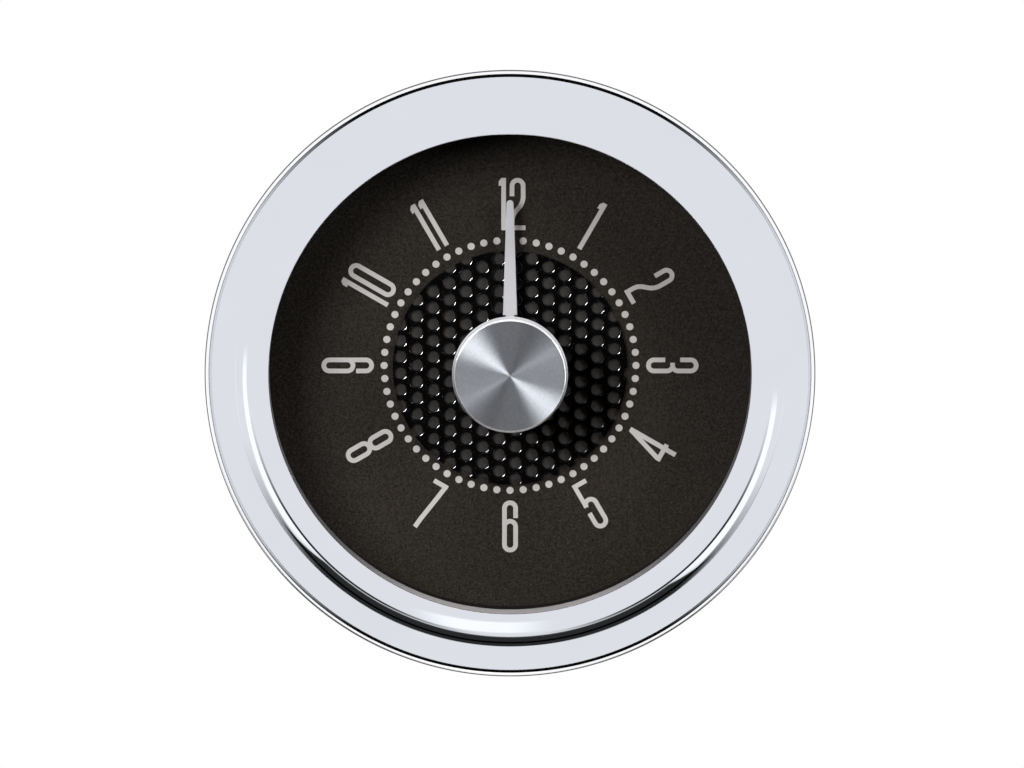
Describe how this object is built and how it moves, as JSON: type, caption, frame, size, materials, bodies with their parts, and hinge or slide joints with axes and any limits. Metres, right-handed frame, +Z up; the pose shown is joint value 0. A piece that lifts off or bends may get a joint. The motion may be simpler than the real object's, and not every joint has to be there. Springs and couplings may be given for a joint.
{
  "type": "dashboard clock",
  "caption": "Round analogue dashboard clock with a chrome bezel, dark dial, perforated centre disc, push-and-turn set knob through the lens and a stepping movement behind it.",
  "frame": {"origin": "the clock's axis where it crosses the face of the dash panel, which is the plane that the rear of the chrome bezel rests on", "axes": "the dial faces -Y, +Y runs back along the case into the dash, +Z is up to 12 o'clock, and 3 o'clock is at +X as seen from the front"},
  "size_m": [0.1016, 0.0671, 0.1016],
  "materials": {
    "bezel_chrome": "polished chrome plate",
    "black_rubber": "soft matt black rubber",
    "lens_glass": "clear flat mineral glass",
    "dark_ring": "matt black moulding",
    "dial_paint": "fine-grained dark grey-brown metallic paint",
    "disc_enamel": "gloss black enamel",
    "hand_paint": "pale grey satin paint",
    "spun_aluminium": "concentrically turned face with a bright cut bevel",
    "bright_steel": "bright drawn steel",
    "yellow_brass": "machined brass",
    "pad_rubber": "firm black rubber",
    "diffuser": "milky white plastic",
    "green_board": "green solder resist on fibreglass",
    "lamp_body": "pale moulded lamp bodies",
    "gold_contacts": "gold flash",
    "plate_brass": "rolled brass sheet",
    "white_nylon": "natural white nylon",
    "ferrite": "dark ferrite magnet",
    "soft_iron": "annealed iron",
    "enamelled_copper": "enamelled copper wire",
    "chip_epoxy": "black epoxy",
    "capacitor_sleeve": "dark blue plastic sleeve",
    "case_moulding": "fine matt black moulded plastic",
    "zinc_steel": "bright zinc plated steel"
  },
  "bodies": {
    "clock": {"bezel": "bezel_chrome", "lens_gasket": "black_rubber", "lens": "lens_glass", "spacer_ring": "dark_ring", "dial_plate": "dial_paint", "perforated_disc": "disc_enamel", "knob_bush": "yellow_brass", "bush_nut": "yellow_brass", "knob_spring": "bright_steel", "diffuser_ring": "diffuser", "light_board": "green_board", "dial_lamps": "lamp_body", "light_pins": "gold_contacts", "carrier_plate": "plate_brass", "carrier_screws": "zinc_steel", "carrier_spacers": "white_nylon", "minute_wheel_post": "bright_steel", "stator": "soft_iron", "stator_posts": "bright_steel", "coil_bobbin": "white_nylon", "coil_winding": "enamelled_copper", "movement_pillars": "bright_steel", "rear_plate": "plate_brass", "board_standoffs": "white_nylon", "board_screws": "zinc_steel", "circuit_board": "green_board", "control_chip": "chip_epoxy", "quartz_crystal": "bright_steel", "capacitors": "capacitor_sleeve", "voltage_regulator": "chip_epoxy", "wiring_socket": "white_nylon", "socket_contacts": "gold_contacts", "case": "case_moulding", "bezel_screws": "zinc_steel", "rear_cover": "case_moulding", "cover_screws": "zinc_steel", "mounting_studs": "zinc_steel", "stud_nuts": "zinc_steel"},
    "knob_push": {"thrust_washer": "bright_steel"},
    "knob": {"set_knob": "spun_aluminium", "knob_stem": "bright_steel", "stem_clip": "bright_steel", "friction_pad": "pad_rubber"},
    "minute_train": {"minute_hand": "hand_paint", "cannon_pinion": "yellow_brass", "centre_arbor": "bright_steel", "centre_wheel": "yellow_brass"},
    "hour_train": {"hour_hand": "hand_paint", "hour_wheel": "yellow_brass"},
    "motion_wheel": {"minute_wheel": "yellow_brass"},
    "intermediate": {"intermediate_wheel": "yellow_brass"},
    "rotor": {"rotor_pinion": "bright_steel", "rotor_magnet": "ferrite"}
  },
  "joints": [
    {"name": "knob_push", "type": "slide", "parent": "clock", "child": "knob_push", "axis": [0, 1, 0], "range_m": [0, 0.0008], "stiffness_N_per_m": 400, "springref_m": -0.002, "deforming": ["knob_spring"]},
    {"name": "knob_turn", "type": "hinge", "parent": "knob_push", "child": "knob", "pos_m": [0, 0, 0], "axis": [0, 1, 0], "continuous": true},
    {"name": "minute_turn", "type": "hinge", "parent": "clock", "child": "minute_train", "pos_m": [0, 0, 0], "axis": [0, 1, 0], "continuous": true},
    {"name": "hour_turn", "type": "hinge", "parent": "clock", "child": "hour_train", "pos_m": [0, 0, 0], "axis": [0, 1, 0], "continuous": true},
    {"name": "motion_wheel_turn", "type": "hinge", "parent": "clock", "child": "motion_wheel", "pos_m": [-0.01039, 0, 0.006], "axis": [0, 1, 0], "continuous": true},
    {"name": "intermediate_turn", "type": "hinge", "parent": "clock", "child": "intermediate", "pos_m": [0, 0, -0.0168], "axis": [0, 1, 0], "continuous": true},
    {"name": "rotor_turn", "type": "hinge", "parent": "clock", "child": "rotor", "pos_m": [0.01353, 0, -0.02173], "axis": [0, 1, 0], "continuous": true}
  ],
  "couplings": [
    {"joint": "hour_turn", "follows": "minute_turn", "ratio": 0.083333},
    {"joint": "motion_wheel_turn", "follows": "minute_turn", "ratio": -0.33333},
    {"joint": "intermediate_turn", "follows": "minute_turn", "ratio": -6},
    {"joint": "rotor_turn", "follows": "minute_turn", "ratio": 30}
  ]
}
